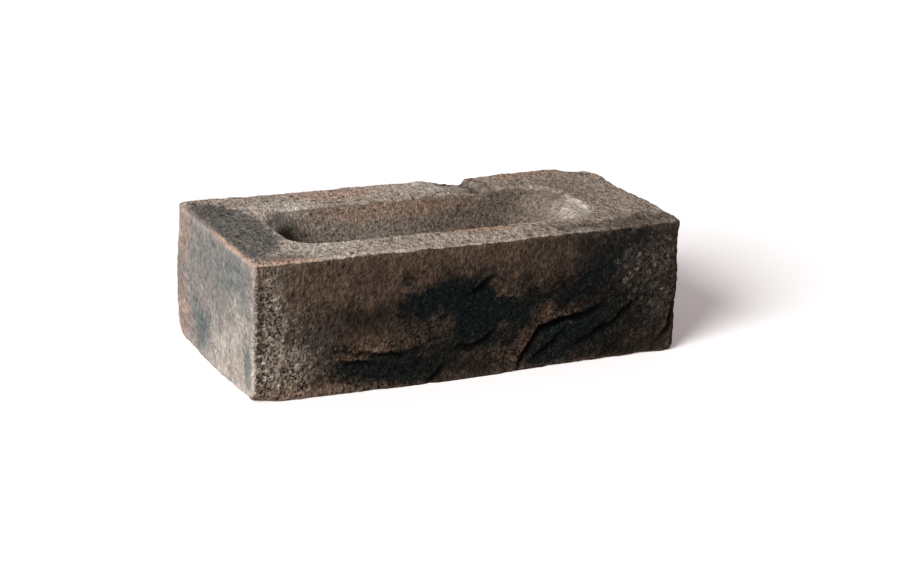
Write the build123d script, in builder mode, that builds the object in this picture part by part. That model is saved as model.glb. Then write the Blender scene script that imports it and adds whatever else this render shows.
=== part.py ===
"""A moulded facing brick: one block of fired clay with a frog in its upper bed, lying on its lower bed.

The origin is the middle of the lower bed. +X runs along the length, the face with the clay folds looks to -Y
and the frog opens upwards, to +Z. All lengths are in millimetres and all slopes in degrees.
"""

import os
from math import radians, tan

from build123d import *

# Work size of the brick
length = 215.0
width = 102.5
height = 65.0

# Arrises, rounded by the mould and by handling
upright_arris_radius = 2.5
upper_arris_radius = 1.6
lower_arris_radius = 3.0

# Frog: the mouth in the upper bed, its slanted walls and its floor
frog_length = 157.0
frog_width = 55.0
frog_depth = 18.0
frog_shift_along = -1.5
frog_shift_across = -2.0
frog_side_slope = 20.0
frog_end_slope = 45.0
frog_corner_radius = 18.0
frog_floor_edge_radius = 6.0
frog_mouth_edge_radius = 2.0

# Nick across the back rim, from the frog to the back face
nick_from_right_end = 65.5
nick_length = 19.0
nick_depth_at_back = 3.6
nick_depth_at_frog = 2.2
nick_steep_side_run = 2.5

# Worn corners: what is lost along the length, across the width and down the height
face_left_lower_wear = (20.0, 6.0, 5.0)
back_left_lower_wear = (9.0, 11.0, 7.0)
back_right_upper_wear = (17.0, 13.0, 4.0)

# Clay folds on the face, each a run of stations: from the right end, above the lower bed, width of the ramp
# under the lip, depth of the crease. A depth of nothing lets the fold run out on the face.
fold_overcut = 0.6
fold_lip_lean = 0.8
long_fold = [
    (87.0, 0.5, 6.0, 1.6),
    (79.0, 12.0, 8.0, 2.4),
    (73.0, 20.8, 9.0, 2.8),
    (59.6, 23.4, 8.0, 2.6),
    (44.6, 27.1, 6.0, 1.8),
    (35.0, 31.5, 3.0, 0.0),
]
short_fold = [
    (60.0, 8.5, 3.0, 0.0),
    (54.6, 11.4, 5.0, 1.4),
    (41.3, 17.0, 7.0, 2.3),
    (30.6, 23.9, 6.0, 2.0),
    (18.0, 31.0, 3.0, 0.0),
]


def trapezium(plane, mouth, slope_run):
    """Upright section of the frog, from its mouth in the upper bed down to its floor."""
    floor = mouth - 2 * slope_run
    with BuildSketch(plane) as section:
        with BuildLine():
            Polyline(
                (-mouth / 2, height),
                (mouth / 2, height),
                (floor / 2, height - frog_depth),
                (-floor / 2, height - frog_depth),
                close=True,
            )
        make_face()
    return section.sketch


def nick_section(across, depth):
    """Section of the nick at one place across the rim: a gentle side to the left, a steep one to the right."""
    right = length / 2 - nick_from_right_end
    with BuildSketch(Plane.XZ.offset(-across)) as section:
        with BuildLine():
            Polyline(
                (right - nick_length, height),
                (right - nick_steep_side_run, height - depth),
                (right, height),
                close=True,
            )
        make_face()
    return section.sketch


def worn_corner(corner, wear, inwards):
    """Plane that takes off a corner, looking out of the brick there."""
    along, across, down = (loss * way for loss, way in zip(wear, inwards))
    cuts = [corner + Vector(along, 0, 0), corner + Vector(0, across, 0), corner + Vector(0, 0, down)]
    middle = (cuts[0] + cuts[1] + cuts[2]) / len(cuts)
    normal = (cuts[1] - cuts[0]).cross(cuts[2] - cuts[0])
    if normal.dot(corner - middle) < 0:
        normal = -normal
    return Plane(origin=middle, z_dir=normal)


def fold_sections(stations):
    """Saw-tooth sections of one clay fold, square to its run: a steep lip above and a long ramp below."""
    places = [Vector(length / 2 - from_end, -width / 2, above_bed) for from_end, above_bed, _, _ in stations]
    sections = []
    for index, (_, _, ramp, depth) in enumerate(stations):
        before = places[max(index - 1, 0)]
        after = places[min(index + 1, len(places) - 1)]
        along = (after - before).normalized()
        towards_lip = Vector(-along.Z, 0, along.X)
        with BuildSketch(Plane(origin=places[index], x_dir=towards_lip, z_dir=along)) as section:
            with BuildLine():
                Polyline((0, fold_overcut), (fold_lip_lean, -depth), (-ramp, fold_overcut), close=True)
            make_face()
        sections.append(section.sketch)
    return sections


# The kick: the block on the mould that presses the frog, with slanted sides and a rounded underside
side_run = frog_depth * tan(radians(frog_side_slope))
end_run = frog_depth * tan(radians(frog_end_slope))
frog_centre = (frog_shift_along, frog_shift_across, 0)
frog_floor_width = frog_width - 2 * side_run
with BuildPart() as frog_kick:
    extrude(trapezium(Plane.XZ, frog_length, end_run), amount=frog_width, both=True)
    extrude(trapezium(Plane.YZ, frog_width, side_run), amount=frog_length, both=True, mode=Mode.INTERSECT)
    level_edges = frog_kick.faces().filter_by(Axis.Z).edges()
    corner_edges = frog_kick.edges().filter_by(lambda edge: edge not in level_edges)
    fillet(corner_edges, min(frog_corner_radius, 0.45 * frog_floor_width))
    fillet(frog_kick.faces().sort_by(Axis.Z)[0].edges(), frog_floor_edge_radius)

with BuildPart() as facing_brick:
    # The block, with its arrises rounded
    with BuildSketch() as bed_outline:
        Rectangle(length, width)
    extrude(amount=height)
    fillet(facing_brick.edges().filter_by(Axis.Z), upright_arris_radius)
    fillet(facing_brick.faces().sort_by(Axis.Z)[-1].edges(), upper_arris_radius)
    fillet(facing_brick.faces().sort_by(Axis.Z)[0].edges(), lower_arris_radius)

    # The frog, and its softened mouth
    add(frog_kick.part.moved(Location(frog_centre)), mode=Mode.SUBTRACT)
    upper_bed = facing_brick.faces().filter_by(Axis.Z).sort_by(Axis.Z)[-1]
    fillet(upper_bed.inner_wires()[0].edges(), frog_mouth_edge_radius)

    # The nick, from the back face into the frog
    frog_back_edge = frog_shift_across + frog_width / 2
    nick_end = frog_back_edge - nick_depth_at_frog * tan(radians(frog_side_slope))
    back_of_nick = nick_section(width / 2, nick_depth_at_back)
    frog_end_of_nick = nick_section(nick_end, nick_depth_at_frog)
    loft(sections=[back_of_nick, frog_end_of_nick], ruled=True, mode=Mode.SUBTRACT)

    # The worn corners
    face_left_lower = Vector(-length / 2, -width / 2, 0)
    back_left_lower = Vector(-length / 2, width / 2, 0)
    back_right_upper = Vector(length / 2, width / 2, height)
    split(bisect_by=worn_corner(face_left_lower, face_left_lower_wear, (1, 1, 1)), keep=Keep.BOTTOM)
    split(bisect_by=worn_corner(back_left_lower, back_left_lower_wear, (1, -1, 1)), keep=Keep.BOTTOM)
    split(bisect_by=worn_corner(back_right_upper, back_right_upper_wear, (-1, -1, -1)), keep=Keep.BOTTOM)

    # The clay folds on the face
    for fold in (long_fold, short_fold):
        loft(sections=fold_sections(fold), ruled=True, mode=Mode.SUBTRACT)

os.makedirs("parts", exist_ok=True)
facing_brick.part.label = "facing_brick"
export_step(facing_brick.part, "parts/facing_brick.step")
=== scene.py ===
# %% [markdown]
# # A fired clay facing brick
#
# This lesson dresses a plain CAD brick so that it looks moulded, sanded and fired. The CAD solid already has
# the right size, the frog (the hollow in the upper bed), the rounded arrises, two deep clay folds, a nick
# and worn corners. What it lacks is clay: slumped faces, torn folds, sand grain, pits and fire marks.
#
# The steps are: load the solid, set the camera, lay the floor and light it, make a finely meshed copy of the
# solid, let Geometry Nodes roughen it, build the clay material from small node groups, and hand the piece
# over.

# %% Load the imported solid
import math

import bmesh
import bpy
from mathutils import Matrix, Vector


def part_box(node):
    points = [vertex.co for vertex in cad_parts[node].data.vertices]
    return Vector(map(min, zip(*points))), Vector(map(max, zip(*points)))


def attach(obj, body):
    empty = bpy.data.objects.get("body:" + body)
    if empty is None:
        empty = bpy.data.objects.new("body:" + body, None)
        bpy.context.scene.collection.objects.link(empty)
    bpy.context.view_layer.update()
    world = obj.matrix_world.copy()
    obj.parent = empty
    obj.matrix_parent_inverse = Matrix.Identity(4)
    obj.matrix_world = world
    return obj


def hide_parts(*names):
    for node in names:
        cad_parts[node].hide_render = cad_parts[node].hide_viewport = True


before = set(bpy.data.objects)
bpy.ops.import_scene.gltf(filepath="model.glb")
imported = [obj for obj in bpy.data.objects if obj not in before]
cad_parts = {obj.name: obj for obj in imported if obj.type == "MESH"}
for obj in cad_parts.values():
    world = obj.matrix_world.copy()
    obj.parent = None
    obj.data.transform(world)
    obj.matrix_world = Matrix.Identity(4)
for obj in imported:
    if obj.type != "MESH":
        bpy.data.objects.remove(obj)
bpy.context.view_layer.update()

MM = 0.001
low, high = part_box("facing_brick")
print("brick, millimetres:", [round(v / MM, 1) for v in high - low])

# %% [markdown]
# ## The camera
#
# The camera stands to the left of the face and a little above the brick. Its place was found by matching
# the brick's straight edges, and it is written the way a photographer would say it: how far round, how high,
# how far off and how much the camera leans. The lens follows from the picture's width and the focal length
# in pixels.

# %% Place the camera
PICTURE_WIDTH = 905
FOCAL_LENGTH_PIXELS = 2219.3
SENSOR_WIDTH = 36.0
VIEW_AZIMUTH = math.radians(-25.93)
VIEW_HEIGHT = math.radians(18.47)
VIEW_LEAN = math.radians(2.32)
VIEW_DISTANCE = 1062.9 * MM
SLIDE_RIGHT = 12.0 * MM
SLIDE_UP = -1.8 * MM
NEAREST_SEEN = 50 * MM

towards_camera = Vector((
    math.sin(VIEW_AZIMUTH) * math.cos(VIEW_HEIGHT),
    -math.cos(VIEW_AZIMUTH) * math.cos(VIEW_HEIGHT),
    math.sin(VIEW_HEIGHT),
))
level_right = Vector((0, 0, 1)).cross(towards_camera).normalized()
level_up = towards_camera.cross(level_right)
view_right = level_right * math.cos(VIEW_LEAN) + level_up * math.sin(VIEW_LEAN)
view_up = level_up * math.cos(VIEW_LEAN) - level_right * math.sin(VIEW_LEAN)
aim = (low + high) / 2 + view_right * SLIDE_RIGHT + view_up * SLIDE_UP
eye = aim + towards_camera * VIEW_DISTANCE

lens = bpy.data.cameras.new("studio_camera")
lens.sensor_width = SENSOR_WIDTH
lens.lens = FOCAL_LENGTH_PIXELS / PICTURE_WIDTH * SENSOR_WIDTH
lens.clip_start = NEAREST_SEEN
camera = bpy.data.objects.new("studio_camera", lens)
axes = Matrix((view_right, view_up, towards_camera)).transposed()
camera.matrix_world = Matrix.Translation(eye) @ axes.to_4x4()
bpy.context.scene.collection.objects.link(camera)
bpy.context.scene.camera = camera
bpy.context.scene.view_settings.view_transform = "Standard"
print("lens, millimetres:", round(lens.lens, 2))

# %% [markdown]
# ## Helpers for node trees
#
# Shaders and geometry trees are both made of nodes, so a few small helpers serve them all. `put` adds one
# node, sets its options and feeds its inputs with values or with other nodes' outputs. The others are
# shorthands for a sum, a vector sum and a smooth step, and for giving a tree named inputs and outputs.


# %% Add nodes and feed them
def put(tree, kind, feeds=None, **options):
    """Add a node. feeds maps the name or the place of an input to a value or to another node's output."""
    node = tree.nodes.new(kind)
    for name, value in options.items():
        setattr(node, name, value)
    for key, value in (feeds or {}).items():
        named = [s for s in node.inputs if s.enabled and s.name == key]
        socket = named[0] if named else node.inputs[key]
        if isinstance(value, bpy.types.NodeSocket):
            tree.links.new(value, socket)
        else:
            socket.default_value = value
    return node


def out_of(node, name=None):
    """The first live output of a node, or the live one of that name."""
    return next(s for s in node.outputs if s.enabled and name in (None, s.name))


def sum_of(tree, operation, *values):
    """One Math node, fed in order."""
    return out_of(put(tree, "ShaderNodeMath", dict(enumerate(values)), operation=operation))


def vector_of(tree, operation, *values):
    """One Vector Math node, fed in order."""
    feeds = {"Vector": values[0], "Scale": values[1]} if operation == "SCALE" else dict(enumerate(values))
    return out_of(put(tree, "ShaderNodeVectorMath", feeds, operation=operation))


def step_of(tree, value, start, end, first=0.0, last=1.0):
    """A smooth step from first to last while a number goes from start to end."""
    feeds = {"Value": value, "From Min": start, "From Max": end, "To Min": first, "To Max": last}
    return out_of(put(tree, "ShaderNodeMapRange", feeds, interpolation_type="SMOOTHSTEP"))


print("node helpers ready")


# %% Give trees inputs and outputs, and colours their linear numbers
def takes(tree, name, kind, default=None):
    """Give a tree a named input and return the input's identifier."""
    socket = tree.interface.new_socket(name, in_out="INPUT", socket_type="NodeSocket" + kind)
    if default is not None:
        socket.default_value = default
    return socket.identifier


def gives(tree, name, kind):
    """Give a tree a named output."""
    tree.interface.new_socket(name, in_out="OUTPUT", socket_type="NodeSocket" + kind)


def chart(red, green, blue):
    """A colour as a paint chart gives it, 0 to 255, in the linear numbers that shaders use."""
    parts = [v / 255 for v in (red, green, blue)]
    return [v / 12.92 if v <= 0.04045 else ((v + 0.055) / 1.055) ** 2.4 for v in parts] + [1.0]


print("mid grey in linear numbers:", [round(v, 3) for v in chart(128, 128, 128)[:3]])

# %% [markdown]
# ## Floor and light
#
# The brick lies on a white studio sweep. One soft lamp stands far off to the left and high, so the left end
# and the upper bed are bright, the face lies in raking light and a soft shadow falls to the right. The white
# of the picture is not extra light on the brick: only what the camera sees of the floor is lifted, and the
# shadow stays in it.


# %% Lay the floor
def seen_by_camera(tree):
    """1 for what the camera sees, straight or in a shine or through glass, and 0 for light that bounces."""
    path = put(tree, "ShaderNodeLightPath")
    seen = sum_of(tree, "MAXIMUM", path.outputs["Is Camera Ray"], path.outputs["Is Glossy Ray"])
    return sum_of(tree, "MAXIMUM", seen, path.outputs["Is Transmission Ray"])


FLOOR_HALF_WIDTH = 3.0
FLOOR_SEEN = chart(253, 254, 254)
FLOOR_BOUNCE = chart(190, 188, 186)
FLOOR_LIFT = 0.2
LIFT_TINT = chart(255, 222, 222)

corner_signs = [(-1, -1), (1, -1), (1, 1), (-1, 1)]
sheet = bpy.data.meshes.new("studio_floor")
corners = [(x * FLOOR_HALF_WIDTH, y * FLOOR_HALF_WIDTH, 0) for x, y in corner_signs]
sheet.from_pydata(corners, [], [(0, 1, 2, 3)])
floor = bpy.data.objects.new("studio_floor", sheet)
bpy.context.scene.collection.objects.link(floor)

sweep = bpy.data.materials.new("white_sweep")
sweep.use_nodes = True
sweep_tree = sweep.node_tree
sweep_tree.nodes.clear()
seen = seen_by_camera(sweep_tree)
feeds = {"Factor": seen, "A": FLOOR_BOUNCE, "B": FLOOR_SEEN}
paper = put(sweep_tree, "ShaderNodeMix", feeds, data_type="RGBA")
matt = put(sweep_tree, "ShaderNodeBsdfDiffuse", {"Color": out_of(paper)})
lift = sum_of(sweep_tree, "MULTIPLY", seen, FLOOR_LIFT)
glow = put(sweep_tree, "ShaderNodeEmission", {"Color": LIFT_TINT, "Strength": lift})
both = put(sweep_tree, "ShaderNodeAddShader", {0: out_of(matt), 1: out_of(glow)})
put(sweep_tree, "ShaderNodeOutputMaterial", {"Surface": out_of(both)})
sheet.materials.append(sweep)
print("floor lift for the camera:", FLOOR_LIFT)

# %% Hang the lamp and set the sky
LAMP_ROUND = math.radians(28)
LAMP_HEIGHT = math.radians(30)
LAMP_SOFTNESS = math.radians(30)
LAMP_STRENGTH = 4.3
SKY_STRENGTH = 0.30

towards_lamp = Vector((
    -math.cos(LAMP_ROUND) * math.cos(LAMP_HEIGHT),
    -math.sin(LAMP_ROUND) * math.cos(LAMP_HEIGHT),
    math.sin(LAMP_HEIGHT),
))
lamp_data = bpy.data.lights.new("soft_lamp", "SUN")
lamp_data.angle = LAMP_SOFTNESS
lamp_data.energy = LAMP_STRENGTH
lamp = bpy.data.objects.new("soft_lamp", lamp_data)
lamp.rotation_euler = towards_lamp.to_track_quat("Z", "Y").to_euler()
bpy.context.scene.collection.objects.link(lamp)

sky = bpy.data.worlds.new("studio_sky")
bpy.context.scene.world = sky
sky.use_nodes = True
sky_tree = sky.node_tree
sky_tree.nodes.clear()
strength = step_of(sky_tree, seen_by_camera(sky_tree), 0.0, 1.0, SKY_STRENGTH, 1.0)
backdrop = put(sky_tree, "ShaderNodeBackground", {"Strength": strength})
put(sky_tree, "ShaderNodeOutputWorld", {"Surface": out_of(backdrop)})
level_light = SKY_STRENGTH + LAMP_STRENGTH * math.sin(LAMP_HEIGHT) / math.pi
print("light on a level surface, 1 is plain:", round(level_light, 2))

# %% [markdown]
# ## A finely meshed copy of the solid
#
# A CAD solid comes as a few long triangles, and those cannot bend into clay. Subdividing them would only make
# long triangles shorter. A voxel remesh lays an even net of small squares over the whole skin instead, so
# every place can move. The copy's doubled points are merged first, because the remesh needs a closed skin.

# %% Copy, merge and remesh
NET_STEP = 1.0 * MM
MERGE_DISTANCE = 0.001 * MM

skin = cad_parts["facing_brick"].data.copy()
skin.materials.clear()
welder = bmesh.new()
welder.from_mesh(skin)
bmesh.ops.remove_doubles(welder, verts=welder.verts, dist=MERGE_DISTANCE)
welder.to_mesh(skin)
welder.free()
block = bpy.data.objects.new("clay_block", skin)
bpy.context.scene.collection.objects.link(block)
net = block.modifiers.new("even net", "REMESH")
net.mode = "VOXEL"
net.voxel_size = NET_STEP
print("solid's points after merging:", len(skin.vertices))

# %% [markdown]
# ## Where the clay folded
#
# A moulded brick is thrown into its box as a soft clot. Where the clot wrinkles, the face shows folds: a lip
# of clay above, a dark crease under it and a ramp below. Two of them are deep and the solid has them. Their
# torn lips and the smaller folds are drawn here as curves on the face, with the depth of the crease as the
# curve's radius, so that a later step can press them into the skin. Each station says how far along the brick
# from its middle it is, how far above the lower bed, and how deep, in millimetres.

# %% Draw the fold lines
FOLD_LINES = {
    "long lip": [
        (21, 1, 0.4), (26, 8.8, 1.1), (30, 13.8, 1.3), (34, 19, 1.6), (37, 21.3, 1.9), (45, 23.5, 1.7),
        (53, 23.8, 1.6), (59, 25, 1.4), (65, 27, 1.2), (70, 31, 0.2),
    ],
    "short lip": [
        (48, 8, 0.2), (57, 11.6, 1.1), (67, 16, 1.5), (74, 18.9, 1.6), (83, 26.7, 1.5), (90, 31.5, 0.4),
    ],
    "inner fold": [(29, 4.5, 0.2), (38, 10.4, 1.5), (44, 15.2, 1.6), (50, 19.5, 0.3)],
    "end crease": [
        (99, 8.5, 0.3), (102.5, 12.7, 1.6), (103.7, 17.6, 1.6), (105, 24.6, 1.2), (106, 30, 0.2),
    ],
    "middle crease": [(-9, 17.2, 0.2), (-5, 16.6, 1.3), (1.3, 16.4, 1.5), (8, 19.5, 1.2), (12, 23, 0.2)],
    "upper crease": [(-3, 40.5, 0.3), (-1, 41.7, 1.2), (2.6, 44, 1.5), (6.5, 47.4, 1.3), (9, 50, 0.2)],
    "left crease": [(-68, 16.4, 0.2), (-62, 14.9, 1.1), (-54, 13.8, 1.2), (-46, 12.6, 0.3)],
    "left lip": [(-60, 19, 0.2), (-52, 18.4, 1.0), (-42, 16.8, 1.1), (-33, 16.5, 0.8), (-28, 18, 0.2)],
    "foot crease": [(-26, 2.2, 0.3), (-24, 3.0, 1.2), (-21, 4.4, 1.4), (-17.7, 7.4, 1.2), (-14, 9.5, 0.2)],
}
CURVE_ORDER = 3

line_data = bpy.data.curves.new("fold_lines", "CURVE")
line_data.dimensions = "3D"
for stations in FOLD_LINES.values():
    line = line_data.splines.new("NURBS")
    line.points.add(len(stations) - 1)
    for point, (along, above, depth) in zip(line.points, stations):
        point.co = (along * MM, low.y, above * MM, 1.0)
        point.radius = depth * MM
    line.order_u = CURVE_ORDER
    line.use_endpoint_u = True
fold_lines = bpy.data.objects.new("fold_lines", line_data)
bpy.context.scene.collection.objects.link(fold_lines)
print("folds drawn:", ", ".join(FOLD_LINES))

# %% [markdown]
# ## Roughening the skin with Geometry Nodes
#
# Everything that roughens a brick follows its skin, so one node tree does it all: each effect is a number of
# metres to push a point out or in, and the sum moves the point along its normal. The tree also writes down
# masks for the material, such as how far a point sits on an arris or in a hollow, because a shader cannot see
# a point's neighbours and a geometry tree can.

# %% Start the tree and name its inputs
relief = bpy.data.node_groups.new("fired_clay_relief", "GeometryNodeTree")
relief.is_modifier = True
gives(relief, "Geometry", "Geometry")
takes(relief, "Geometry", "Geometry")
RELIEF_SIZES = {
    "Slump height": 0.45 * MM,
    "Slump reach": 48 * MM,
    "Lump height": 0.5 * MM,
    "Lump reach": 9 * MM,
    "Grit height": 0.75 * MM,
    "Grit reach": 3.0 * MM,
    "Tear height": 3.2 * MM,
    "Tear reach": 9 * MM,
    "Pit depth": 0.7 * MM,
    "Pit spacing": 3.4 * MM,
    "Crumb height": 1.0 * MM,
    "Crumb spacing": 3.3 * MM,
    "Arris loss": 1.6 * MM,
    "Arris chip reach": 6.0 * MM,
    "Fold ramp": 5.5 * MM,
    "Fold lip": 3.5 * MM,
    "Fold waver": 2.2 * MM,
    "Fold waver reach": 6.0 * MM,
}
relief_ids = {name: takes(relief, name, "Float", size) for name, size in RELIEF_SIZES.items()}
relief_ids["Seed"] = takes(relief, "Seed", "Float", 0.0)
relief_ids["Fold lines"] = takes(relief, "Fold lines", "Object")
relief_ids["Clay"] = takes(relief, "Clay", "Material")
given = put(relief, "NodeGroupInput").outputs
spot = out_of(put(relief, "GeometryNodeInputPosition"))
outwards = out_of(put(relief, "GeometryNodeInputNormal"))
print("relief inputs:", ", ".join(relief_ids))

# %% [markdown]
# ## Slump, lumps, grit and swells
#
# A soft clot never fills its box evenly. Its sides slump over a few fingers' width, lumps the size of a
# fingertip stand out, and sand makes grit. Sculpting could show this too, but its sizes would be hard to
# change later. Noise of three sizes takes a few numbers, and the bulges and sags of this one brick are soft
# ellipsoids.


# %% Slump, lumps and grit: noise of three sizes
def noise(reach, shift, detail=2.0, rough=0.5, place=spot):
    """Noise from -1 to 1 with bumps about as wide as reach. Its shift makes it unlike the others."""
    feeds = {
        "Vector": place,
        "W": sum_of(relief, "ADD", given["Seed"], shift),
        "Scale": sum_of(relief, "DIVIDE", 1.0, reach),
        "Detail": detail,
        "Roughness": rough,
    }
    bumps = put(relief, "ShaderNodeTexNoise", feeds, noise_dimensions="4D").outputs[0]
    return sum_of(relief, "MULTIPLY_ADD", bumps, 2.0, -1.0)


slump = noise(given["Slump reach"], shift=0.0, detail=1.0)
slump = sum_of(relief, "MULTIPLY", slump, given["Slump height"])
lumps = noise(given["Lump reach"], shift=3.0, detail=2.0)
lumps = sum_of(relief, "MULTIPLY", lumps, given["Lump height"])
grit = noise(given["Grit reach"], shift=7.0, detail=3.0, rough=0.7)
grit = sum_of(relief, "MULTIPLY", grit, given["Grit height"])
print("slump, lumps and grit wired")

# %% The frog and the top of the face are smoother: the mould pressed and sanded them
FROG_LOW = Vector((-80, -29.5, 40)) * MM
FROG_HIGH = Vector((77, 25.5, 63)) * MM
FROG_EDGE = 2.0 * MM
FROG_CALM = 0.45
STRUCK_FACE = ((-20, -51, 56), (115, 14, 22))
STRUCK_FULL = 0.5
FACE_CALM = 0.55


def within(centre, reach):
    """1 at a centre, fading to 0 at the reach, both in millimetres."""
    away = vector_of(relief, "SUBTRACT", spot, [v * MM for v in centre])
    away = vector_of(relief, "DIVIDE", away, [v * MM for v in reach])
    return step_of(relief, vector_of(relief, "LENGTH", away), 1.0, 0.0)


short_of_frog = vector_of(relief, "SUBTRACT", vector_of(relief, "MAXIMUM", spot, FROG_LOW), spot)
past_frog = vector_of(relief, "SUBTRACT", spot, vector_of(relief, "MINIMUM", spot, FROG_HIGH))
frog_away = vector_of(relief, "LENGTH", short_of_frog)
frog_away = sum_of(relief, "ADD", frog_away, vector_of(relief, "LENGTH", past_frog))
calm = step_of(relief, frog_away, 0.0, FROG_EDGE, FROG_CALM, 1.0)
face_calm = step_of(relief, within(*STRUCK_FACE), 0.0, STRUCK_FULL, 1.0, FACE_CALM)
calm = sum_of(relief, "MULTIPLY", calm, face_calm)
roughness = sum_of(relief, "MULTIPLY", sum_of(relief, "ADD", lumps, grit), calm)
push = sum_of(relief, "ADD", slump, roughness)
print("frog keeps", FROG_CALM, "of the roughness")

# %% Swells: the few places where this brick bulges or sags, each with a centre, a reach and a height
SWELLS = {
    "near rim sags": ((5, -47, 65), (50, 12, 12), -1.2),
    "back rim sags": ((30, 48, 65), (40, 14, 12), -1.3),
    "back right corner dips": ((101, 50, 65), (11, 14, 10), -1.5),
    "back of the right rim is full": ((107, 26, 65), (14, 20, 10), 1.6),
    "right rim stands up": ((106, -28, 67), (24, 62, 10), 2.0),
    "right end is full": ((107, -42, 24), (18, 44, 44), 1.8),
    "back of the left end is full": ((-107, 50, 28), (18, 34, 42), 1.4),
    "foot of the left end is full": ((-107, 5, 2), (8, 60, 9), 1.6),
    "back left rim stands up": ((-95, 46, 65), (34, 18, 10), 0.9),
    "left lip bulges": ((-47, -51, 22), (17, 10, 8), 1.4),
    "foot of the face bulges": ((-20, -51, 3), (80, 10, 14), 1.2),
    "foot of the face is full": ((-15, -51, 0), (150, 8, 7), 2.4),
    "rim is full beside the nick": ((17, 49, 65), (9, 8, 8), 1.0),
    "nick is deeper": ((29, 46, 63), (9, 12, 8), -1.4),
    "foot of the frog's right end is full": ((57, -2, 47), (22, 22, 14), 2.5),
    "back left corner of the frog is full": ((-76, 22, 56), (18, 18, 16), 4.0),
}

for centre, reach, swell in SWELLS.values():
    push = sum_of(relief, "MULTIPLY_ADD", within(centre, reach), swell * MM, push)
print("swells:", ", ".join(SWELLS))

# %% [markdown]
# ## Tears
#
# Around the folds the clay was dragged and tore into slanting wrinkles. Ridges like these are what the
# absolute value of a noise looks like: it has a sharp valley wherever the noise crosses zero. The noise is
# turned to the slant of the folds and stretched along it, and soft zones keep it to the torn places.

# %% Tears: slanting wrinkles around the folds
TEAR_SLANT = math.radians(28)
TEAR_STRETCH = (0.5, 1.0, 1.0)
TEAR_EDGE = (0.05, 0.5)
WRINKLE_MIDDLE = 0.25
TEAR_ZONES = {
    "around the folds": ((45, -51, 20), (85, 16, 38)),
    "middle of the face": ((-5, -51, 30), (55, 16, 28)),
    "foot of the face": ((-45, -51, 12), (50, 16, 20)),
}


def strongest(zones):
    """The strongest of some zones at a point: 1 in the middle of any of them and 0 outside all."""
    found = 0.0
    for centre, reach in zones.values():
        found = sum_of(relief, "MAXIMUM", found, within(centre, reach))
    return found


feeds = {"Vector": spot, "Angle": TEAR_SLANT}
slanted = out_of(put(relief, "ShaderNodeVectorRotate", feeds, rotation_type="Y_AXIS"))
streaks = vector_of(relief, "MULTIPLY", slanted, TEAR_STRETCH)
torn = step_of(relief, strongest(TEAR_ZONES), *TEAR_EDGE)
wrinkle = noise(given["Tear reach"], shift=23.0, detail=4.0, rough=0.6, place=streaks)
flap = sum_of(relief, "SUBTRACT", sum_of(relief, "ABSOLUTE", wrinkle), WRINKLE_MIDDLE)
tears = sum_of(relief, "MULTIPLY", sum_of(relief, "MULTIPLY", flap, torn), given["Tear height"])
push = sum_of(relief, "ADD", push, tears)
print("tear zones:", ", ".join(TEAR_ZONES))

# %% [markdown]
# ## Chipped arrises
#
# An arris is the edge where two sides of a brick meet, and it is the first thing to chip. A bevel would wear
# it evenly. Here a point on an arris is known by how far it stands out from the mean of its neighbours, and
# noise takes some of those points back. Close to the floor less is taken, so the brick keeps its foot.


# %% Arrises: find them, then chip them
def blurred(value, rounds):
    """A vector field averaged over its neighbours on the net, a few rounds long."""
    feeds = {"Value": value, "Iterations": rounds}
    return out_of(put(relief, "GeometryNodeBlurAttribute", feeds, data_type="FLOAT_VECTOR"))


ARRIS_BLUR = 9
ARRIS_START = 0.15 * MM
ARRIS_FULL = 0.75 * MM
CHIP_EDGE = (-0.1, 0.6)
FOOT_HEIGHTS = (2 * MM, 12 * MM)
FOOT_CHIPS = 0.35

stands_out = vector_of(relief, "SUBTRACT", spot, blurred(spot, ARRIS_BLUR))
stands_out = vector_of(relief, "DOT_PRODUCT", stands_out, outwards)
arris = step_of(relief, stands_out, ARRIS_START, ARRIS_FULL)
chips = step_of(relief, noise(given["Arris chip reach"], shift=11.0, detail=3.0), *CHIP_EDGE)
above_floor = put(relief, "ShaderNodeSeparateXYZ", {0: spot}).outputs[2]
chips = sum_of(relief, "MULTIPLY", chips, step_of(relief, above_floor, *FOOT_HEIGHTS, FOOT_CHIPS, 1.0))
loss = sum_of(relief, "MULTIPLY", sum_of(relief, "MULTIPLY", arris, chips), given["Arris loss"])
push = sum_of(relief, "SUBTRACT", push, loss)
print("arrises chipped")

# %% [markdown]
# ## Crumbs and pits
#
# Loose clay stuck to the mould's corners and left crumbs on the face, and grains that fell out left pits.
# Both could be small meshes scattered over the skin, but they are part of it, so a Voronoi pattern moves the
# skin itself: some of its cells rise as crumbs, and some cells of a second pattern sink as pits.

# %% Waver: a small wandering shift, so that crumbs and folds are not too regular
waver = [noise(given["Fold waver reach"], shift, detail=3.0) for shift in (31.0, 37.0)]
waver = put(relief, "ShaderNodeCombineXYZ", {0: waver[0], 2: waver[1]})
wavering = vector_of(relief, "SCALE", out_of(waver), given["Fold waver"])
print("waver wired")

# %% Crumbs: some cells of a Voronoi pattern, in three places
CRUMB_ZONES = {
    "right of the face": ((94, -51, 42), (30, 16, 30)),
    "left of the face": ((-102, -51, 34), (16, 16, 44)),
    "foot of the face, left": ((-92, -51, 10), (26, 16, 22)),
}
CRUMB_EDGE = (0.1, 0.6)
CRUMB_SHAPE = (0.65, 0.1)
CRUMB_PICK = (0.35, 1.0)
CRUMBS_OFF_ARRIS = (0.5, 0.0)
PATTERN_SHIFT = (0.31, 0.17, 0.53)


def cells(place, spacing):
    """A Voronoi pattern: how far a point is from its cell's middle, and a random number for the cell."""
    feeds = {"Vector": place, "Scale": sum_of(relief, "DIVIDE", 1.0, spacing), "Randomness": 1.0}
    pattern = put(relief, "ShaderNodeTexVoronoi", feeds).outputs
    return pattern["Distance"], out_of(put(relief, "ShaderNodeSeparateXYZ", {0: pattern["Color"]}))


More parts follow.
